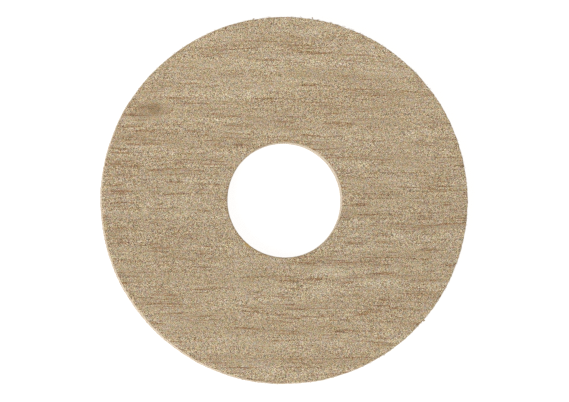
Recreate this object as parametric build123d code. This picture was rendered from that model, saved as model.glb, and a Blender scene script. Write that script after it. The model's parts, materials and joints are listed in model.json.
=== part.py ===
from build123d import *
import os

# A flat round washer cut from thin veneered plywood: a decorative beech veneer on the front, three
# pale inner plies with crossed grain, a balancing veneer on the back, and a resin film in each joint.
# Lengths are in millimetres. The origin is the centre of the bore on the back face, +Z points out of
# the decorative face, and the grain of the face veneer runs along X.

# The washer as a whole
outer_diameter = 55.0
shank_diameter = 16.0  # the bolt, rod or pipe that passes through
bore_clearance = 0.5  # all round the shank
arris_round = 0.15  # the eased edge of the two outside veneers

# The layers, each with its own thickness
face_veneer_thickness = 0.6
cross_ply_thickness = 0.8
core_ply_thickness = 0.8
back_veneer_thickness = 0.6
glue_film_thickness = 0.1

# What follows from them
outer_radius = outer_diameter / 2
bore_radius = shank_diameter / 2 + bore_clearance
arris_limit = 0.45  # the most of a veneer's thickness that its eased edge may take


def layer(bottom, thickness):
    """A flat ring of the common outline, standing on the height bottom."""
    seat = (Align.CENTER, Align.CENTER, Align.MIN)
    blank = Cylinder(outer_radius, thickness, align=seat)
    hole = Cylinder(bore_radius, thickness, align=seat)
    return Pos(0, 0, bottom) * (blank - hole)


def eased(ring, side, thickness):
    """The ring with the two edges of one flat side rounded over: side is -1 for its top, 0 for its foot."""
    flat_side = ring.faces().sort_by(Axis.Z)[side]
    return fillet(flat_side.edges(), min(arris_round, arris_limit * thickness))


def back_veneer(bottom):
    ring = layer(bottom, back_veneer_thickness)
    return eased(ring, 0, back_veneer_thickness)


def glue_film(bottom):
    return layer(bottom, glue_film_thickness)


def cross_ply(bottom):
    return layer(bottom, cross_ply_thickness)


def core_ply(bottom):
    return layer(bottom, core_ply_thickness)


def face_veneer(bottom):
    ring = layer(bottom, face_veneer_thickness)
    return eased(ring, -1, face_veneer_thickness)


# From the back face up: the name of each layer, what makes it, and the thickness it adds
stack = [
    ("back_veneer", back_veneer, back_veneer_thickness),
    ("back_glue_film", glue_film, glue_film_thickness),
    ("lower_cross_ply", cross_ply, cross_ply_thickness),
    ("lower_core_glue_film", glue_film, glue_film_thickness),
    ("core_ply", core_ply, core_ply_thickness),
    ("upper_core_glue_film", glue_film, glue_film_thickness),
    ("upper_cross_ply", cross_ply, cross_ply_thickness),
    ("face_glue_film", glue_film, glue_film_thickness),
    ("face_veneer", face_veneer, face_veneer_thickness),
]

os.makedirs("parts", exist_ok=True)
height = 0.0
for name, make, thickness in stack:
    export_step(make(height), f"parts/{name}.step")
    height += thickness
print(f"{len(stack)} layers, {height:.2f} mm thick, bore {2 * bore_radius:.2f} mm")
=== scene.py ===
import json
import math
import random

import bmesh
import bpy
from mathutils import Matrix, Vector


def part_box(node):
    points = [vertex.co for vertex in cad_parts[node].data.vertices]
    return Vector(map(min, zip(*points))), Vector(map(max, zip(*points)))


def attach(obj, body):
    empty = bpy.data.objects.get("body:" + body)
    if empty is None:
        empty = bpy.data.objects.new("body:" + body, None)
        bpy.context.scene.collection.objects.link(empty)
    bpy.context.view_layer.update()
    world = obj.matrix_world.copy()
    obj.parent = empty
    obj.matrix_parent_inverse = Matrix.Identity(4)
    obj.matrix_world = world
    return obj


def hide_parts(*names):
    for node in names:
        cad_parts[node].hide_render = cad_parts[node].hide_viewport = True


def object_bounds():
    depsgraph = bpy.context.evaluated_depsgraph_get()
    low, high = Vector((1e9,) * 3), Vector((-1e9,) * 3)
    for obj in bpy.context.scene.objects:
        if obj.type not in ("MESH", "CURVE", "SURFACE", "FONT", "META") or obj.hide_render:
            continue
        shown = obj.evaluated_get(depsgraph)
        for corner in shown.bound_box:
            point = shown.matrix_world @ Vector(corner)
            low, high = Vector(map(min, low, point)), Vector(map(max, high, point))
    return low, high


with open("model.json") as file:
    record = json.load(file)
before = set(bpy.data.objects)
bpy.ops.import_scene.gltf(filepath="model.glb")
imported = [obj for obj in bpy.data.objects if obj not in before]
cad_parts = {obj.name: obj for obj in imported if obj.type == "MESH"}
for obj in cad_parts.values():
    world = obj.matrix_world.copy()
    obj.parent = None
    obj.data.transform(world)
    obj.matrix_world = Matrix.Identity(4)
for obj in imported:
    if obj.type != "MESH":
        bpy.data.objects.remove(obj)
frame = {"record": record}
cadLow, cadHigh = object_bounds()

mm = 0.001
outerRadius = cadHigh.x
topHeight = cadHigh.z
boreRadius = frame["record"]["mounts"][0]["dims"]["r_mm"] * mm


def clearSelection():
    if bpy.context.object and bpy.context.object.mode != "OBJECT":
        bpy.ops.object.mode_set(mode="OBJECT")
    bpy.ops.object.select_all(action="DESELECT")


def makeActive(piece):
    clearSelection()
    piece.select_set(True)
    bpy.context.view_layer.objects.active = piece


def pick(test):
    # selects the points of the piece in edit mode that pass the test, and the edges and faces between them
    mesh = bmesh.from_edit_mesh(bpy.context.object.data)
    for point in mesh.verts:
        point.select = test(point.co)
    mesh.select_mode = {"VERT"}
    mesh.select_flush_mode()
    bmesh.update_edit_mesh(bpy.context.object.data)


def near(value, wanted):
    return abs(value - wanted) < 0.001 * mm


def addRing(name, outside, bore, bottom, top, cuts, segments, arris=0.0, arrisHeight=None):
    # the ring's section is drawn beside the axis and turned round it
    # cuts are how often the top, the walls and the bottom are cut up
    clearSelection()
    middle = ((outside + bore) / 2, 0, (bottom + top) / 2)
    bpy.ops.mesh.primitive_plane_add(size=1, location=middle, rotation=(math.pi / 2, 0, 0))
    ring = bpy.context.object
    ring.name = ring.data.name = name
    ring.scale = (outside - bore, top - bottom, 1)
    bpy.ops.object.transform_apply(location=True, rotation=True, scale=True)
    bpy.ops.object.mode_set(mode="EDIT")
    bpy.ops.mesh.select_mode(type="VERT")
    if arris:
        pick(lambda point: near(point.z, arrisHeight))
        bpy.ops.mesh.bevel(offset=arris, segments=3, affect="VERTICES")
    bpy.ops.mesh.select_all(action="SELECT")
    bpy.ops.mesh.delete(type="ONLY_FACE")
    topCuts, wallCuts, bottomCuts = cuts
    sides = [
        (lambda point: near(point.z, top), topCuts),
        (lambda point: near(point.z, bottom), bottomCuts),
        (lambda point: near(point.x, outside), wallCuts),
        (lambda point: near(point.x, bore), wallCuts),
    ]
    for side, count in sides:
        if count:
            pick(side)
            bpy.ops.mesh.subdivide(number_cuts=count)
    bpy.ops.object.mode_set(mode="OBJECT")
    turning = ring.modifiers.new("turning", "SCREW")
    turning.steps = turning.render_steps = segments
    bpy.ops.object.modifier_apply(modifier=turning.name)
    bpy.ops.object.mode_set(mode="EDIT")
    bpy.ops.mesh.select_all(action="SELECT")
    bpy.ops.mesh.remove_doubles(threshold=0.001 * mm)
    bpy.ops.mesh.normals_make_consistent(inside=False)
    bpy.ops.object.mode_set(mode="OBJECT")
    return ring


def keepGroup(piece, name, weightOf):
    group = piece.vertex_groups.new(name=name)
    for point in piece.data.vertices:
        weight = weightOf(point.co)
        if weight > 0:
            group.add([point.index], min(weight, 1.0), "REPLACE")


def applyDisplace(piece, name, group, depth, direction, level, pattern=None, guide=None):
    makeActive(piece)
    change = piece.modifiers.new(name, "DISPLACE")
    change.vertex_group = group
    change.direction = direction
    change.strength = depth
    change.mid_level = level
    change.texture = pattern
    if guide:
        change.texture_coords = "OBJECT"
        change.texture_coords_object = guide
    bpy.ops.object.modifier_apply(modifier=change.name)


def roughen(piece, group, size, depth, direction="NORMAL", level=1.0, contrast=1.0,
            stretch=(1, 1, 1), place=(0, 0, 0)):
    # pushes the group's points by a cloud pattern: inwards where level is 1 or more
    pattern = bpy.data.textures.new(group, "CLOUDS")
    pattern.noise_scale = size
    pattern.noise_depth = 2
    pattern.contrast = contrast
    guide = bpy.data.objects.new(group + "Guide", None)
    bpy.context.scene.collection.objects.link(guide)
    guide.scale = stretch
    guide.location = place
    bpy.context.view_layer.update()
    applyDisplace(piece, group, group, depth, direction, level, pattern, guide)
    bpy.data.objects.remove(guide)
    bpy.data.textures.remove(pattern)


# shading tools

def addNode(tree, kind, values=None, **settings):
    made = tree.nodes.new("ShaderNode" + kind)
    for key, value in settings.items():
        setattr(made, key, value)
    for key, value in (values or {}).items():
        if isinstance(value, bpy.types.NodeSocket):
            tree.links.new(value, made.inputs[key])
        else:
            made.inputs[key].default_value = value
    return made


def maths(tree, operation, first, second=0.0, third=None, clamp=False):
    values = {0: first, 1: second}
    if third is not None:
        values[2] = third
    return addNode(tree, "Math", values, operation=operation, use_clamp=clamp).outputs[0]


def swing(tree, value, amount, middle=0.0):
    # a value that is 0.5 on average, spread by amount about the middle
    return maths(tree, "MULTIPLY_ADD", value, amount, middle - amount / 2)


def between(tree, value, low, high, toLow=0.0, toHigh=1.0):
    # a soft step: toLow up to low, toHigh from high on
    ends = {"Value": value, "From Min": low, "From Max": high, "To Min": toLow, "To Max": toHigh}
    return addNode(tree, "MapRange", ends, interpolation_type="SMOOTHSTEP").outputs["Result"]


def mixColour(tree, share, first, second, blend="MIX"):
    made = addNode(tree, "Mix", {0: share, 6: first, 7: second}, data_type="RGBA", blend_type=blend)
    return made.outputs[2]


def vectorMaths(tree, operation, first, second=(0, 0, 0), output=0):
    return addNode(tree, "VectorMath", {0: first, 1: second}, operation=operation).outputs[output]


def noise(tree, vector, scale=1.0, detail=2.0, roughness=0.5, output="Fac"):
    values = {"Vector": vector, "Scale": scale, "Detail": detail, "Roughness": roughness}
    return addNode(tree, "TexNoise", values).outputs[output]


def newGroup(name, inputs, outputs):
    # sockets are (name, kind, value to start with)
    tree = bpy.data.node_groups.new(name, "ShaderNodeTree")
    for label, kind, value in inputs:
        socket = tree.interface.new_socket(name=label, in_out="INPUT", socket_type="NodeSocket" + kind)
        if value is not None:
            socket.default_value = value
    for label, kind in outputs:
        tree.interface.new_socket(name=label, in_out="OUTPUT", socket_type="NodeSocket" + kind)
    return tree, tree.nodes.new("NodeGroupInput").outputs, tree.nodes.new("NodeGroupOutput").inputs


def useGroup(tree, group, values):
    made = tree.nodes.new("ShaderNodeGroup")
    made.node_tree = group
    for key, value in values.items():
        if isinstance(value, bpy.types.NodeSocket):
            tree.links.new(value, made.inputs[key])
        else:
            made.inputs[key].default_value = value
    return made.outputs


def stretchedBy(tree, vector, length, width):
    # the vector measured in fibre lengths along X and fibre widths across it
    perLength = maths(tree, "DIVIDE", 1.0, length)
    perWidth = maths(tree, "DIVIDE", 1.0, width)
    factors = addNode(tree, "CombineXYZ", {0: perLength, 1: perWidth, 2: perWidth}).outputs[0]
    return vectorMaths(tree, "MULTIPLY", vector, factors)


def makeFibreGroup():
    # streaks that run along X; Grain is about 0.5 on average
    tree, given, out = newGroup("fibreGrain", [
        ("Vector", "Vector", None), ("Length", "Float", 3.0), ("Width", "Float", 0.2),
        ("Detail", "Float", 2.0),
    ], [("Grain", "Float")])
    vector = stretchedBy(tree, given["Vector"], given["Length"], given["Width"])
    values = {"Vector": vector, "Scale": 1.0, "Detail": given["Detail"], "Roughness": 0.6}
    grain = addNode(tree, "TexNoise", values).outputs["Fac"]
    tree.links.new(grain, out["Grain"])
    return tree


def makeFleckGroup():
    # separate short dashes along X, one to a cell at most, of uneven length and depth
    tree, given, out = newGroup("rayFlecks", [
        ("Vector", "Vector", None), ("Length", "Float", 4.0), ("Height", "Float", 0.5),
        ("Amount", "Float", 0.3), ("Seed", "Float", 0.0),
    ], [("Mask", "Float")])
    vector = stretchedBy(tree, given["Vector"], given["Length"], given["Height"])
    shift = addNode(tree, "CombineXYZ", {0: given["Seed"], 1: given["Seed"], 2: 0.0}).outputs[0]
    vector = vectorMaths(tree, "ADD", vector, shift)
    cells = addNode(tree, "TexVoronoi", {"Vector": vector, "Scale": 1.0, "Randomness": 1.0},
                    voronoi_dimensions="2D", feature="F1").outputs
    drawn = addNode(tree, "SeparateColor", {0: cells["Color"]}).outputs
    kept = maths(tree, "LESS_THAN", drawn[0], given["Amount"])
    reach = maths(tree, "MULTIPLY_ADD", drawn[1], 0.28, 0.14)
    body = between(tree, maths(tree, "DIVIDE", cells["Distance"], reach), 1.0, 0.3)
    depth = maths(tree, "MULTIPLY_ADD", drawn[2], 0.5, 0.5)
    mask = maths(tree, "MULTIPLY", maths(tree, "MULTIPLY", body, kept), depth)
    tree.links.new(mask, out["Mask"])
    return tree


def makeSpeckleGroup():
    # small grains of light and shade, with two values that tint them
    tree, given, out = newGroup("speckle", [
        ("Vector", "Vector", None), ("Size", "Float", 0.12), ("TintSize", "Float", 0.24),
    ], [("Light", "Float"), ("Warm", "Float"), ("Cool", "Float")])
    light = noise(tree, given["Vector"], maths(tree, "DIVIDE", 1.0, given["Size"]), 0.0, 0.5)
    light = between(tree, light, 0.36, 0.73)
    colour = noise(tree, given["Vector"], maths(tree, "DIVIDE", 1.0, given["TintSize"]), 0.0, 0.5, "Color")
    drawn = addNode(tree, "SeparateColor", {0: colour}).outputs
    tree.links.new(light, out["Light"])
    tree.links.new(drawn[1], out["Warm"])
    tree.links.new(drawn[2], out["Cool"])
    return tree


def makeRimGroup():
    # 1 at the outline and at the bore, fading over Width; it marks where the rim is darkened, partly as
    # painted shade
    tree, given, out = newGroup("rimDarkening", [
        ("Vector", "Vector", None), ("Outside", "Float", 27.5), ("Bore", "Float", 8.5),
        ("Width", "Float", 0.3),
    ], [("Mask", "Float")])
    flat = vectorMaths(tree, "MULTIPLY", given["Vector"], (1, 1, 0))
    radius = vectorMaths(tree, "LENGTH", flat, output="Value")
    fromOutside = maths(tree, "SUBTRACT", given["Outside"], radius)
    fromBore = maths(tree, "SUBTRACT", radius, given["Bore"])
    nearest = maths(tree, "MINIMUM", fromOutside, fromBore)
    tree.links.new(between(tree, nearest, given["Width"], 0.0), out["Mask"])
    return tree


def makeSawnGroup():
    # bare cut wood: streaks where the cut follows the grain along X, dots where it crosses it,
    # and upright tool marks
    tree, given, out = newGroup("sawnWood", [
        ("Vector", "Vector", None), ("Normal", "Vector", None),
        ("Along", "Color", (0.8, 0.7, 0.5, 1)), ("Across", "Color", (0.6, 0.5, 0.3, 1)),
        ("Grain", "Float", 0.3), ("Marks", "Float", 0.1), ("Scorch", "Float", 0.2),
    ], [("Color", "Color"), ("Height", "Float")])
    across = addNode(tree, "SeparateXYZ", {0: given["Normal"]}).outputs[0]
    across = maths(tree, "MULTIPLY", across, across)
    fibre = useGroup(tree, fibreGroup, {"Vector": given["Vector"], "Length": 2.4, "Width": 0.09})["Grain"]
    year = useGroup(tree, fibreGroup, {"Vector": given["Vector"], "Length": 26.0, "Width": 0.55})["Grain"]
    # a place on the circle, so that the marks meet all the way round
    flat = vectorMaths(tree, "NORMALIZE", vectorMaths(tree, "MULTIPLY", given["Vector"], (1, 1, 0)))
    height = vectorMaths(tree, "MULTIPLY", given["Vector"], (0, 0, 1))
    markPlace = vectorMaths(tree, "ADD", vectorMaths(tree, "MULTIPLY", flat, (90, 90, 0)),
                            vectorMaths(tree, "MULTIPLY", height, (0, 0, 0.4)))
    marks = noise(tree, markPlace, 1.0, 1.0)
    scorchPlace = vectorMaths(tree, "ADD", vectorMaths(tree, "MULTIPLY", flat, (5, 5, 0)), height)
    scorch = between(tree, noise(tree, scorchPlace, 0.9, 2.0), 0.5, 0.78)
    colour = mixColour(tree, across, given["Along"], given["Across"])
    dark = mixColour(tree, 1.0, colour, (0.60, 0.47, 0.33, 1), "MULTIPLY")
    colour = mixColour(tree, maths(tree, "MULTIPLY", scorch, given["Scorch"]), colour, dark)
    colour = mixColour(tree, maths(tree, "MULTIPLY", between(tree, year, 0.5, 0.72), 0.3), colour, dark)
    gain = maths(tree, "MULTIPLY_ADD", maths(tree, "SUBTRACT", fibre, 0.5), given["Grain"], 1.0)
    gain = maths(tree, "MULTIPLY_ADD", maths(tree, "SUBTRACT", marks, 0.5), given["Marks"], gain)
    gains = addNode(tree, "CombineXYZ", {0: gain, 1: gain, 2: gain}).outputs[0]
    tree.links.new(mixColour(tree, 1.0, colour, gains, "MULTIPLY"), out["Color"])
    tree.links.new(maths(tree, "ADD", fibre, maths(tree, "MULTIPLY", marks, 0.6)), out["Height"])
    return tree


fibreGroup = makeFibreGroup()
fleckGroup = makeFleckGroup()
speckleGroup = makeSpeckleGroup()
rimGroup = makeRimGroup()
sawnGroup = makeSawnGroup()
print("shading groups made")


def startMaterial(name, turn=0.0, place=(0, 0, 0)):
    # gives the tree, the shader, and the place in millimetres and the normal, both turned to the grain
    material = bpy.data.materials.new(name)
    material.use_nodes = True
    tree = material.node_tree
    tree.nodes.clear()
    shader = addNode(tree, "BsdfPrincipled")
    tree.links.new(shader.outputs[0], addNode(tree, "OutputMaterial").inputs[0])
    coordinates = addNode(tree, "TexCoord").outputs
    toGrain = {"Vector": coordinates["Object"], "Location": place, "Rotation": (0, 0, turn),
               "Scale": (1 / mm,) * 3}
    inGrain = addNode(tree, "Mapping", toGrain, vector_type="POINT").outputs[0]
    turned = {"Vector": coordinates["Normal"], "Rotation": (0, 0, turn)}
    facing = addNode(tree, "Mapping", turned, vector_type="POINT").outputs[0]
    return material, tree, shader, inGrain, facing


def addBump(tree, shader, height, depth, strength=0.6):
    bump = addNode(tree, "Bump", {"Height": height, "Strength": strength, "Distance": depth})
    tree.links.new(bump.outputs[0], shader.inputs["Normal"])


# the flecks that stand out on the face: x, y, half length, half height in millimetres, slope, strength
faceFlecks = [
    (-19.7, 16.1, 2.1, 0.20, 0.00, 0.7), (-8.0, 12.5, 2.4, 0.22, -0.02, 0.8),
    (-0.4, 11.6, 1.6, 0.24, -0.05, 0.7), (-21.2, 10.2, 2.9, 0.26, 0.01, 0.8),
    (-22.0, 8.9, 3.8, 0.24, 0.00, 0.8), (-6.7, 8.2, 1.6, 0.26, -0.02, 0.8),
    (-24.1, 7.0, 2.6, 0.22, 0.01, 0.9), (-24.1, 5.7, 2.6, 0.24, 0.02, 0.8),
    (-15.8, 5.5, 1.1, 0.24, 0.00, 0.8), (-12.1, 5.3, 1.2, 0.22, 0.00, 0.8),
    (-19.2, 4.4, 1.7, 0.22, 0.02, 0.8), (-16.5, 2.6, 1.9, 0.24, -0.02, 0.8),
    (-24.4, 1.2, 3.0, 0.28, 0.00, 0.9), (-12.1, -1.7, 1.6, 0.30, 0.00, 0.8),
    (11.4, -0.6, 2.2, 0.28, 0.01, 0.9), (24.3, -0.7, 1.4, 0.24, 0.02, 0.8),
    (-24.4, -6.4, 2.2, 0.26, 0.00, 0.7), (10.4, -6.4, 2.2, 0.34, 0.00, 0.8),
    (21.4, -7.3, 2.4, 0.26, 0.00, 0.8), (-18.3, -7.2, 2.6, 0.30, 0.00, 0.7),
    (3.2, -9.4, 2.2, 0.26, 0.00, 0.9), (15.1, -9.6, 1.4, 0.22, 0.00, 0.8),
    (18.2, -9.8, 1.2, 0.22, -0.04, 0.8), (14.8, -10.9, 3.1, 0.26, 0.01, 1.0),
    (20.6, -12.0, 3.8, 0.26, 0.05, 0.8), (9.2, -12.3, 1.6, 0.28, 0.04, 0.9),
    (14.9, -14.8, 1.5, 0.26, 0.03, 0.8), (11.6, -17.0, 2.0, 0.28, 0.12, 0.9),
]


def ellipseMask(tree, vector, x, y, halfLength, halfHeight, slope):
    # 1 in the middle of a sloping lens shape, falling to 0 at its edge
    values = {"Vector": vector, "Location": (x, y, 0), "Rotation": (0, 0, math.atan(slope)),
              "Scale": (halfLength, halfHeight, 1)}
    local = addNode(tree, "Mapping", values, vector_type="TEXTURE").outputs[0]
    reach = vectorMaths(tree, "LENGTH", vectorMaths(tree, "MULTIPLY", local, (1, 1, 0)), output="Value")
    return between(tree, reach, 1.0, 0.3)


def makeFaceFleckGroup():
    # the flecks of the list above, as one mask
    tree, given, out = newGroup("faceFlecks", [("Vector", "Vector", None)], [("Mask", "Float")])
    mask = None
    for x, y, halfLength, halfHeight, slope, strength in faceFlecks:
        one = ellipseMask(tree, given["Vector"], x, y, halfLength, halfHeight, slope)
        one = maths(tree, "MULTIPLY", one, strength)
        mask = one if mask is None else maths(tree, "MAXIMUM", mask, one)
    tree.links.new(mask, out["Mask"])
    return tree


faceFleckGroup = makeFaceFleckGroup()

# larger marks on the face, as ellipseMask takes them: x, y, half length, half height, slope
faceMarks = {
    "paleBand": (6.9, -10.7, 3.4, 1.5, 0.0),
    "paleTail": (14.4, -12.1, 3.6, 0.9, 0.05),
    "knotHalo": (-20.6, 13.4, 3.6, 1.9, 0.05),
    "knotCore": (-19.5, 13.5, 1.7, 1.25, 0.3),
    # the next mark is painted shade along the bore's edge, on the side away from the key light
    "boreEdgeShade": (-5.5, -6.7, 1.0, 0.5, -0.83),
}

sawnLook = {
    "along": (0.67, 0.590, 0.475, 1),
    "across": (0.60, 0.505, 0.385, 1),
    "roughness": 0.86,
    "bump": 0.05 * mm,
}

shadedSide = (0.82, 0.57, 0)  # the way the arris faces where painted shade darkens it most, away from the key light

faceLook = {
    "light": (0.450, 0.359, 0.227, 1),
    "dark": (0.402, 0.309, 0.187, 1),
    "cream": (0.495, 0.414, 0.271, 1),
    "fleck": (0.205, 0.074, 0.012, 1),
    "fleckDepth": 0.85,
    "knot": (0.225, 0.138, 0.062, 1),
    # the next colour is for painted shade at the bore's edge
    "stain": (0.420, 0.270, 0.090, 1),
    # the rim colour darkens the rim, as painted shade most on the side away from the key light
    "rim": (0.265, 0.175, 0.080, 1),
    "rimWidth": 0.35,
    "speckleSize": 0.060,
    "tintSize": 0.38,
    "speckleDepth": 2.14,
    "tintDepth": 0.42,
    "roughness": 0.82,
    "bump": 0.03 * mm,
}

backLook = {
    "light": (0.560, 0.440, 0.285, 1),
    "dark": (0.440, 0.325, 0.195, 1),
    "cream": (0.620, 0.510, 0.350, 1),
    "fleck": (0.230, 0.135, 0.065, 1),
    "fleckDepth": 0.6,
    "knot": (0.250, 0.150, 0.080, 1),
    # the rim colour darkens the rim, as painted shade most on the side away from the key light
    "rim": (0.420, 0.320, 0.200, 1),
    "rimWidth": 0.35,
    "speckleSize": 0.16,
    "tintSize": 0.50,
    "speckleDepth": 0.35,
    "tintDepth": 0.25,
    "roughness": 0.80,
    "bump": 0.05 * mm,
}


def makeVeneerWood(name, look, shift, flecksAmount, face):
    material, tree, shader, place, facing = startMaterial(name, 0.0, shift)
    # the grain waves a little across its run
    wave = noise(tree, vectorMaths(tree, "MULTIPLY", place, (0.07, 0.12, 0.1)), 1.0, 1.0)
    ripple = noise(tree, vectorMaths(tree, "MULTIPLY", place, (0.45, 0.9, 0.5)), 1.0, 1.0)
    lift = maths(tree, "ADD", swing(tree, wave, 1.3), swing(tree, ripple, 0.22))
    waved = vectorMaths(tree, "ADD", place, addNode(tree, "CombineXYZ", {1: lift}).outputs[0])
    slightLift = swing(tree, ripple, 0.4)
    nearly = vectorMaths(tree, "ADD", place, addNode(tree, "CombineXYZ", {1: slightLift}).outputs[0])

    def streaks(vector, length, width, detail):
        values = {"Vector": vector, "Length": length, "Width": width, "Detail": detail}
        return useGroup(tree, fibreGroup, values)["Grain"]

    band = streaks(waved, 26.0, 2.2, 2.0)
    patch = streaks(waved, 9.0, 1.1, 2.0)
    fibre = streaks(waved, 1.6, 0.16, 1.0)
    colour = mixColour(tree, between(tree, band, 0.36, 0.66), look["dark"], look["light"])
    creamShare = maths(tree, "MULTIPLY", between(tree, patch, 0.5, 0.72), 0.24)
    colour = mixColour(tree, creamShare, colour, look["cream"])

    # many small flecks, fewer and finer towards +Y
    height = addNode(tree, "SeparateXYZ", {0: place}).outputs[1]
    lower = between(tree, height, 15.0, -2.0, 0.5, 1.0)
    many = useGroup(tree, fleckGroup, {
        "Vector": waved, "Length": 6.5, "Height": 0.46, "Amount": flecksAmount, "Seed": 3.0})["Mask"]
    fine = useGroup(tree, fleckGroup, {
        "Vector": waved, "Length": 2.8, "Height": 0.38, "Amount": flecksAmount * 1.5, "Seed": 11.0})["Mask"]
    many = maths(tree, "MULTIPLY", many, lower)
    flecks = maths(tree, "MAXIMUM", many, maths(tree, "MULTIPLY", fine, 0.4))
    if face:
        own = useGroup(tree, faceFleckGroup, {"Vector": nearly})["Mask"]
        flecks = maths(tree, "MAXIMUM", flecks, own)
    # hair lines, weaker on the cream patches, and small breaks in every line
    hair = streaks(waved, 6.5, 0.23, 1.0)
    hairDepth = between(tree, patch, 0.60, 0.42, 0.30, 0.78)
    hair = maths(tree, "MULTIPLY", between(tree, hair, 0.55, 0.69), hairDepth)
    breaks = between(tree, streaks(place, 0.45, 0.14, 0.0), 0.30, 0.56, 0.45, 1.0)
    flecks = maths(tree, "MULTIPLY", flecks, between(tree, fibre, 0.25, 0.55, 0.5, 0.95))
    flecks = maths(tree, "MULTIPLY", maths(tree, "MAXIMUM", flecks, hair), breaks)
    colour = mixColour(tree, maths(tree, "MULTIPLY", flecks, look["fleckDepth"]), colour, look["fleck"])
    if face:
        pale = maths(tree, "MAXIMUM", ellipseMask(tree, place, *faceMarks["paleBand"]),
                     ellipseMask(tree, place, *faceMarks["paleTail"]))
        colour = mixColour(tree, maths(tree, "MULTIPLY", pale, 0.6), colour, look["cream"])
        halo = maths(tree, "MULTIPLY", ellipseMask(tree, place, *faceMarks["knotHalo"]), 0.30)
        core = maths(tree, "MULTIPLY", ellipseMask(tree, nearly, *faceMarks["knotCore"]), 0.58)
        colour = mixColour(tree, maths(tree, "MAXIMUM", halo, core), colour, look["knot"])

    # fibres and speckle change how light it is, and the speckle its tint
    spots = useGroup(tree, speckleGroup, {
        "Vector": place, "Size": look["speckleSize"], "TintSize": look["tintSize"]})
    shade = swing(tree, spots["Light"], look["speckleDepth"], 0.10 * look["speckleDepth"])
    shade = maths(tree, "ADD", shade, swing(tree, fibre, 0.26))
    warm = swing(tree, spots["Warm"], look["tintDepth"], 1.0)
    cool = swing(tree, spots["Cool"], look["tintDepth"] * 1.85, 1.0)
    gains = addNode(tree, "CombineXYZ", {
        0: maths(tree, "MULTIPLY_ADD", shade, 0.84, warm),
        1: maths(tree, "ADD", shade, 1.0),
        2: maths(tree, "MULTIPLY_ADD", shade, 1.24, cool),
    }).outputs[0]
    # darkest a little below the middle, paler towards both ends of Y
    slow = maths(tree, "ADD", between(tree, height, -5.0, 19.0, 0.960, 1.035),
                 between(tree, height, -7.0, -20.0, 0.0, 0.03))
    slowGains = addNode(tree, "CombineXYZ", {0: slow, 1: slow, 2: slow}).outputs[0]
    gains = vectorMaths(tree, "MULTIPLY", gains, slowGains)
    gains = vectorMaths(tree, "MAXIMUM", gains, (0.1, 0.1, 0.1))
    colour = mixColour(tree, 1.0, colour, gains, "MULTIPLY")

    rim = useGroup(tree, rimGroup, {
        "Vector": place, "Outside": outerRadius / mm, "Bore": boreRadius / mm,
        "Width": look["rimWidth"]})["Mask"]
    # painted shade: the rim is darkened a little all round and most where the arris faces away from the key
    # light
    away = between(tree, vectorMaths(tree, "DOT_PRODUCT", facing, shadedSide, "Value"), 0.1, 0.6)
    rim = maths(tree, "MULTIPLY", rim, maths(tree, "MULTIPLY_ADD", away, 0.55, 0.25))
    colour = mixColour(tree, rim, colour, look["rim"])
    if face:
        # painted shade along the bore's edge, where it faces away from the key light
        stain = ellipseMask(tree, place, *faceMarks["boreEdgeShade"])
        colour = mixColour(tree, maths(tree, "MULTIPLY", stain, 0.9), colour, look["stain"])

    # the finished side only: its cut edge is bare wood
    sawn = useGroup(tree, sawnGroup, {
        "Vector": place, "Normal": facing, "Along": sawnLook["along"], "Across": sawnLook["across"]})
    upright = addNode(tree, "SeparateXYZ", {0: facing}).outputs[2]
    if not face:
        upright = maths(tree, "MULTIPLY", upright, -1.0)
    finished = between(tree, upright, 0.25, 0.7)
    colour = mixColour(tree, finished, sawn["Color"], colour)
    tree.links.new(colour, shader.inputs["Base Color"])

    tree.links.new(swing(tree, spots["Light"], 0.16, look["roughness"]), shader.inputs["Roughness"])
    shader.inputs["Specular IOR Level"].default_value = 0.25
    addBump(tree, shader, maths(tree, "ADD", fibre, swing(tree, spots["Light"], 0.5)), look["bump"])
    return material


def makePlyWood(name, turn, shift, along, across):
    material, tree, shader, place, facing = startMaterial(name, turn, shift)
    sawn = useGroup(tree, sawnGroup, {
        "Vector": place, "Normal": facing, "Along": along, "Across": across,
        "Grain": 0.45, "Marks": 0.22, "Scorch": 0.45})
    # open pores, seen best where the cut crosses the grain
    pores = {"Vector": place, "Length": 1.4, "Width": 0.055, "Detail": 0.0}
    pores = useGroup(tree, fibreGroup, pores)["Grain"]
    open = between(tree, pores, 0.66, 0.78)
    colour = mixColour(tree, maths(tree, "MULTIPLY", open, 0.55), sawn["Color"], (0.30, 0.20, 0.11, 1))
    tree.links.new(colour, shader.inputs["Base Color"])
    tree.links.new(swing(tree, pores, 0.2, sawnLook["roughness"]), shader.inputs["Roughness"])
    shader.inputs["Specular IOR Level"].default_value = 0.2
    addBump(tree, shader, maths(tree, "SUBTRACT", sawn["Height"], open), sawnLook["bump"])
    return material


resinLook = {
    "pale": (0.470, 0.320, 0.165, 1),
    "deep": (0.255, 0.145, 0.060, 1),
    "roughness": 0.45,
    "bump": 0.02 * mm,
}


def makeResin():
    material, tree, shader, place, facing = startMaterial("amberResin")
    # thicker and thinner runs of glue along the line, with specks of dust in it
    runs = noise(tree, vectorMaths(tree, "MULTIPLY", place, (0.35, 0.35, 1.5)), 1.0, 3.0, 0.6)
    dust = noise(tree, place, 7.0, 1.0)
    colour = mixColour(tree, between(tree, runs, 0.35, 0.65), resinLook["deep"], resinLook["pale"])
    dusty = maths(tree, "MULTIPLY", between(tree, dust, 0.6, 0.75), 0.6)
    colour = mixColour(tree, dusty, colour, sawnLook["along"])
    tree.links.new(colour, shader.inputs["Base Color"])
    tree.links.new(swing(tree, dust, 0.4, resinLook["roughness"]), shader.inputs["Roughness"])
    addBump(tree, shader, dust, resinLook["bump"])
    return material


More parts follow.
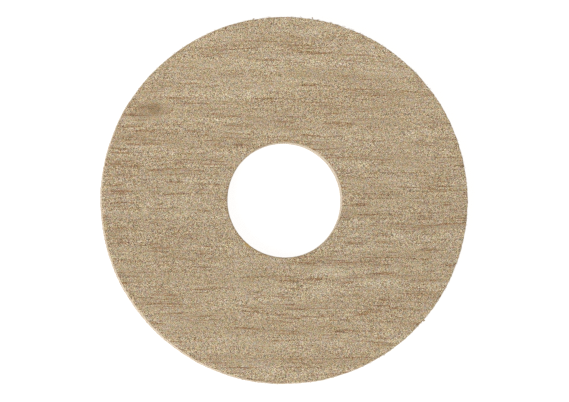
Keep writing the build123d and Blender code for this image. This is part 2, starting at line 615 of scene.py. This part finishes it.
stackMake = {
    "segments": 1440,
    "outside": outerRadius - 0.01 * mm,
    "bore": boreRadius + 0.002 * mm,
    "sawWave": 0.10 * mm,
    "waveSize": 4.5 * mm,
    "sawRagged": 0.13 * mm,
    "raggedSize": 0.42 * mm,
    "boreShare": 0.34,
}


def distanceInside(point, outside, bore):
    # how far a point is from the nearer of the two walls
    radius = math.hypot(point.x, point.y)
    return min(outside - radius, radius - bore)


def keepWallGroups(piece, outside, bore):
    # four groups for the two walls, by the way the wood faces: +X, -X, +Y and -Y
    fade = 0.3 * mm
    groups = {side: piece.vertex_groups.new(name="wall" + side) for side in ("+X", "-X", "+Y", "-Y")}
    for point in piece.data.vertices:
        share = 1 - distanceInside(point.co, outside, bore) / fade
        if share <= 0:
            continue
        radius = math.hypot(point.co.x, point.co.y)
        inBore = radius - bore < outside - radius
        outwards = point.co / (-radius if inBore else radius)
        share *= stackMake["boreShare"] if inBore else 1  # the bore was cut cleaner
        for axis, letter in enumerate("XY"):
            side = "+" if outwards[axis] > 0 else "-"
            groups[side + letter].add([point.index], share * abs(outwards[axis]), "REPLACE")


def sawWalls(piece, outside, bore, ragged, height=0.0):
    # the saw's slow wander is the same through the whole stack, and the raggedness differs from ply to ply
    keepWallGroups(piece, outside, bore)
    level, contrast = 1.1, 1.5
    for side, sense in (("+X", 1), ("-X", -1), ("+Y", 1), ("-Y", -1)):
        roughen(piece, "wall" + side, stackMake["waveSize"], sense * stackMake["sawWave"], side[1],
                level, contrast, (1, 1, 6))
        roughen(piece, "wall" + side, stackMake["raggedSize"], sense * ragged, side[1],
                level, contrast, (1, 1, 0.8), (0, 0, height * mm))


def pieceFor(node, piece, material):
    piece.data.materials.clear()
    piece.data.materials.append(material)
    makeActive(piece)
    bpy.ops.object.shade_smooth_by_angle(angle=math.radians(50))
    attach(piece, "root")
    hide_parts(node)


def makeFibre():
    # one thin curled fibre, a unit long, that stands on the origin
    clearSelection()
    bpy.ops.mesh.primitive_circle_add(vertices=5, radius=0.5, fill_type="NGON")
    fibre = bpy.context.object
    bpy.ops.object.mode_set(mode="EDIT")
    bpy.ops.mesh.select_mode(type="FACE")
    aside = height = 0.0
    for rise, lean, shrink in [(0.35, 0.06, 0.85), (0.37, 0.16, 0.62), (0.28, 0.26, 0.2)]:
        bpy.ops.mesh.extrude_region_move(TRANSFORM_OT_translate={"value": (lean, 0, rise)})
        aside, height = aside + lean, height + rise
        bpy.ops.transform.resize(value=(shrink, shrink, 1), center_override=(aside, 0, height))
    bpy.ops.mesh.select_all(action="SELECT")
    bpy.ops.mesh.normals_make_consistent(inside=False)
    bpy.ops.object.mode_set(mode="OBJECT")
    return fibre


def placeFibre(fibre, start, towards, length, width, roll, flatness=1.0):
    # a copy of the fibre with its foot at start, kept inside the CAD box
    towards = towards.normalized()
    limit = outerRadius - 0.012 * mm - width * 0.4
    for side in (0, 1):
        over = abs(start[side] + towards[side] * length) - limit
        if over > 0:
            length -= over / abs(towards[side])
    if length < 0.05 * mm:
        return None
    copy = bpy.data.objects.new("fibreCopy", fibre.data.copy())
    bpy.context.scene.collection.objects.link(copy)
    turn = towards.to_track_quat("Z", "Y").to_matrix().to_4x4() @ Matrix.Rotation(roll, 4, "Z")
    size = Matrix.Diagonal((width, width * flatness, length, 1))
    copy.data.transform(Matrix.Translation(start) @ turn @ size)
    return copy


# the fibres that stand out at the rim: angle in degrees, which wall, length and width in millimetres, lean
rimBurrs = [
    (99.7, "outside", 0.17, 0.36, 40), (92.7, "outside", 0.16, 0.40, 30),
    (84.9, "outside", 0.17, 0.40, -30), (81.4, "outside", 0.20, 0.36, -40),
    (182.2, "outside", 0.16, 0.40, 20), (-40.9, "outside", 0.24, 0.38, 20),
    (261.7, "bore", 0.09, 0.20, 30), (230.2, "bore", 0.08, 0.24, -20),
]

fibreMake = {
    "count": 170,
    "lengths": (0.25, 0.9),
    "widths": (0.035, 0.075),
    "boreFoot": 0.13 * mm,  # how far in the wood the feet stand
    "outsideFoot": 0.09 * mm,
    "burrFoot": 0.10 * mm,
    "boreReach": 0.05 * mm,  # how far towards the air they may lean
    "outsideReach": 0.12 * mm,
}


def addFibres(piece, low, high, seed):
    # torn fibres lie along the grain and lift a little from the cut edge; they are part of the same ply
    draw = random.Random(seed)
    fibre = makeFibre()
    copies = []
    for angle, wall, length, width, lean in rimBurrs:
        around = math.radians(angle)
        out = Vector((math.cos(around), math.sin(around), 0))
        if wall == "outside":
            radius, outwards = stackMake["outside"] - fibreMake["burrFoot"], out
        else:
            radius, outwards = stackMake["bore"] + fibreMake["boreFoot"], -out
        towards = Matrix.Rotation(math.radians(lean), 3, "Z") @ outwards
        start = out * radius + Vector((0, 0, high - 0.14 * mm))
        copies.append(placeFibre(fibre, start, towards, length * mm, width * mm, 0.0, 0.5))
    for number in range(fibreMake["count"]):
        around = draw.uniform(0, 2 * math.pi)
        inBore = draw.random() < 0.25
        length = draw.uniform(*fibreMake["lengths"]) * mm
        width = draw.uniform(*fibreMake["widths"]) * mm
        out = Vector((math.cos(around), math.sin(around), 0))
        height = high - 0.10 * mm if draw.random() < 0.6 else draw.uniform(low + 0.05 * mm, high - 0.1 * mm)
        if inBore:
            radius, outwards = stackMake["bore"] + fibreMake["boreFoot"], -out
            most = fibreMake["boreReach"]
        else:
            radius, outwards = stackMake["outside"] - fibreMake["outsideFoot"], out
            most = fibreMake["outsideReach"]
        grain = Vector((math.copysign(1, outwards.x), 0, 0))
        strayX, strayY = draw.uniform(-0.08, 0.08), draw.uniform(-0.08, 0.08)
        towards = grain + Vector((strayX, strayY, draw.uniform(-0.12, 0.04)))
        roll = draw.uniform(0, 6)
        reach = length * abs(outwards.x)
        if reach > most:
            length *= max(most / reach, 0.15)
        start = out * radius + Vector((0, 0, height))
        copies.append(placeFibre(fibre, start, towards, length, width, roll))
    bpy.data.objects.remove(fibre)
    makeActive(piece)
    for copy in copies:
        if copy:
            copy.select_set(True)
    bpy.ops.object.join()


faceMake = {
    "topCuts": 42,
    "wallCuts": 3,
    "arris": 0.26 * mm,
    "relief": 0.045 * mm,
    "knotDip": 0.03 * mm,
}

# small chips in the top arris: angle in degrees, half width and depth in millimetres, and which wall
rimChips = [
    (104, 0.9, 0.10, "outside"), (121, 0.6, 0.08, "outside"), (146, 1.1, 0.09, "outside"),
    (158, 0.5, 0.10, "outside"), (236, 0.7, 0.08, "outside"), (301, 0.9, 0.09, "outside"),
    (12, 0.6, 0.08, "outside"), (58, 0.5, 0.08, "bore"), (197, 0.6, 0.07, "bore"),
]


def addChips(piece, top):
    deepest = 0.10  # millimetres, what a weight of 1 stands for

    def chipWeight(point):
        most = 0
        inside = distanceInside(point, stackMake["outside"], stackMake["bore"])
        if inside > mm or point.z < top - 0.3 * mm:
            return most
        for angle, halfWidth, depth, wall in rimChips:
            radius = stackMake["outside"] if wall == "outside" else stackMake["bore"]
            around = math.radians(angle)
            gap = math.hypot(point.x - radius * math.cos(around), point.y - radius * math.sin(around))
            below = (top - point.z) / (0.30 * mm)
            share = (1 - gap / (halfWidth * mm)) * (1 - below)
            most = max(most, share * depth / deepest)
        return most

    keepGroup(piece, "rimChips", chipWeight)
    applyDisplace(piece, "rimChips", "rimChips", -deepest * mm, "NORMAL", 0.0)


def makeFace():
    low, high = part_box("face_veneer")
    outside, bore = stackMake["outside"], stackMake["bore"]
    cuts = (faceMake["topCuts"], faceMake["wallCuts"], 0)
    piece = addRing("faceVeneer", outside, bore, low.z, high.z, cuts, stackMake["segments"],
                    faceMake["arris"], high.z)
    sawWalls(piece, outside, bore, stackMake["sawRagged"])
    flat = 0.02 * mm
    fade = 0.5 * mm

    def onTop(point):
        return (point.z > high.z - flat) * distanceInside(point, outside, bore) / fade

    def nearKnot(point):
        reach = math.hypot((point.x / mm + 19.7) / 3.2, (point.y / mm - 13.6) / 1.9)
        return (point.z > high.z - flat) * (1 - reach)

    keepGroup(piece, "nearKnot", nearKnot)
    keepGroup(piece, "topGrain", onTop)
    applyDisplace(piece, "nearKnot", "nearKnot", -faceMake["knotDip"], "Z", 0.0)
    roughen(piece, "topGrain", 1.1 * mm, faceMake["relief"], direction="Z", stretch=(9, 1, 1))
    addChips(piece, high.z)
    addFibres(piece, low.z, high.z, 7)
    wood = makeVeneerWood("beechFace", faceLook, (0, 0, 0), 0.30, True)
    pieceFor("face_veneer", piece, wood)


makeFace()
print("face veneer made")

backMake = {
    "underCuts": 26,
    "wallCuts": 3,
    "arris": 0.13 * mm,
    "relief": 0.06 * mm,
}


def makeBack():
    low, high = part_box("back_veneer")
    outside, bore = stackMake["outside"], stackMake["bore"]
    cuts = (0, backMake["wallCuts"], backMake["underCuts"])
    piece = addRing("backVeneer", outside, bore, low.z, high.z, cuts, stackMake["segments"],
                    backMake["arris"], low.z)
    sawWalls(piece, outside, bore, stackMake["sawRagged"] * 1.15, 31)
    flat = 0.02 * mm
    fade = 0.5 * mm

    def onUnderside(point):
        return (point.z < low.z + flat) * distanceInside(point, outside, bore) / fade

    keepGroup(piece, "underGrain", onUnderside)
    roughen(piece, "underGrain", 1.3 * mm, backMake["relief"], direction="Z", level=0.0, stretch=(7, 1, 1))
    wood = makeVeneerWood("beechBack", backLook, (61, 37, 5), 0.14, False)
    pieceFor("back_veneer", piece, wood)


makeBack()
print("back veneer made")

# the three inner plies: node, name, slot, how far in it stands, grain turn, shift of its pattern
plyMake = [
    ("lower_cross_ply", "lowerCrossPly", "cross_ply_wood", 0.016 * mm, math.pi / 2, (13, 5, 2)),
    ("core_ply", "corePly", "core_ply_wood", 0.004 * mm, 0.0, (29, 17, 7)),
    ("upper_cross_ply", "upperCrossPly", "cross_ply_wood", 0.012 * mm, math.pi / 2, (41, 23, 11)),
]

# the tone of each kind of ply along its grain and across it
plyLook = {
    "cross_ply_wood": ((0.690, 0.605, 0.485, 1), (0.580, 0.485, 0.355, 1)),
    "core_ply_wood": ((0.720, 0.645, 0.530, 1), (0.620, 0.530, 0.400, 1)),
}


def makePly(node, name, slot, inset, turn, shift):
    low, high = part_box(node)
    outside, bore = stackMake["outside"] - inset, stackMake["bore"] + inset
    piece = addRing(name, outside, bore, low.z, high.z, (0, 5, 0), stackMake["segments"])
    sawWalls(piece, outside, bore, stackMake["sawRagged"] * 0.9, shift[2] * 9)
    along, across = plyLook[slot]
    pieceFor(node, piece, makePlyWood(name + "Wood", turn, shift, along, across))


for ply in plyMake:
    makePly(*ply)
print("inner plies made")

# the glue lines between them, from the back up
filmMake = {
    "nodes": ["back_glue_film", "lower_core_glue_film", "upper_core_glue_film", "face_glue_film"],
    "inset": 0.035 * mm,
    "ragged": 0.07 * mm,
}


def makeFilms(material):
    for number, node in enumerate(filmMake["nodes"]):
        low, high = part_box(node)
        outside, bore = stackMake["outside"] - filmMake["inset"], stackMake["bore"] + filmMake["inset"]
        words = node.split("_")
        name = words[0] + "".join(word.title() for word in words[1:])
        piece = addRing(name, outside, bore, low.z, high.z, (0, 2, 0), stackMake["segments"])
        sawWalls(piece, outside, bore, filmMake["ragged"], 100 + 40 * number)
        pieceFor(node, piece, material)


makeFilms(makeResin())
print("glue lines made")

studio = {
    "floorSize": 12.0,
    "floorGap": 0.03 * mm,
    "floorTone": (0.30, 0.30, 0.30, 1),
    "floorGlow": 0.82,
    "skyLow": 0.98,
    "skyHigh": 0.68,
    "keyPower": 3.8,
    "keySize": 0.5,
    "keyDistance": 0.8,
    "keyTowards": 215,
    "keyHeight": 50,
    "cameraTowards": 215,
    "cameraTilt": 4.7,
    "lens": 500,
    "sensor": 36,
    "frameWidth": 84.75 * mm,
    "aim": (-0.06 * mm, -0.155 * mm),
}


def directionTo(towards, heightAngle):
    around, up = math.radians(towards), math.radians(heightAngle)
    return Vector((math.cos(around) * math.cos(up), math.sin(around) * math.cos(up), math.sin(up)))


def makeFloor():
    clearSelection()
    bpy.ops.mesh.primitive_plane_add(size=studio["floorSize"], location=(0, 0, -studio["floorGap"]))
    floor = bpy.context.object
    floor.name = "studioFloor"
    material = bpy.data.materials.new("paleFloor")
    material.use_nodes = True
    shader = material.node_tree.nodes["Principled BSDF"]
    shader.inputs["Base Color"].default_value = studio["floorTone"]
    shader.inputs["Roughness"].default_value = 0.9
    shader.inputs["Specular IOR Level"].default_value = 0.0
    shader.inputs["Emission Color"].default_value = (1, 1, 1, 1)
    shader.inputs["Emission Strength"].default_value = studio["floorGlow"]
    floor.data.materials.append(material)


def makeLight():
    world = bpy.data.worlds.new("studioSky")
    world.use_nodes = True
    tree = world.node_tree
    sky = tree.nodes["Background"]
    sky.inputs["Color"].default_value = (1, 1, 1, 1)
    # a plain sky, palest at the horizon
    height = addNode(tree, "SeparateXYZ", {0: addNode(tree, "TexCoord").outputs["Generated"]}).outputs[2]
    glow = between(tree, height, 0.1, 0.5, studio["skyLow"], studio["skyHigh"])
    tree.links.new(glow, sky.inputs["Strength"])
    bpy.context.scene.world = world
    toKey = directionTo(studio["keyTowards"], studio["keyHeight"])
    clearSelection()
    bpy.ops.object.light_add(type="AREA", location=toKey * studio["keyDistance"])
    key = bpy.context.object
    key.name = "softKey"
    key.data.shape = "DISK"
    key.data.size = studio["keySize"]
    key.data.energy = studio["keyPower"]
    key.rotation_euler = toKey.to_track_quat("Z", "Y").to_euler()


def makeCamera():
    toCamera = directionTo(studio["cameraTowards"], 90 - studio["cameraTilt"])
    distance = studio["frameWidth"] * studio["lens"] / studio["sensor"]
    target = Vector((studio["aim"][0], studio["aim"][1], topHeight))
    right = Vector((0, 1, 0)).cross(toCamera).normalized()
    up = toCamera.cross(right)
    turn = Matrix((right, up, toCamera)).transposed().to_4x4()
    data = bpy.data.cameras.new("faceView")
    data.lens = studio["lens"]
    data.sensor_width = studio["sensor"]
    data.clip_start, data.clip_end = 0.05, 50
    camera = bpy.data.objects.new("faceView", data)
    camera.matrix_world = Matrix.Translation(target + toCamera * distance) @ turn
    bpy.context.scene.collection.objects.link(camera)
    bpy.context.scene.camera = camera
    settings = bpy.context.scene.view_settings
    settings.view_transform = "Standard"
    settings.look = "None"
    bpy.context.scene.cycles.use_denoising = False  # it would smear the fine speckle


makeFloor()
makeLight()
makeCamera()
print("studio made")
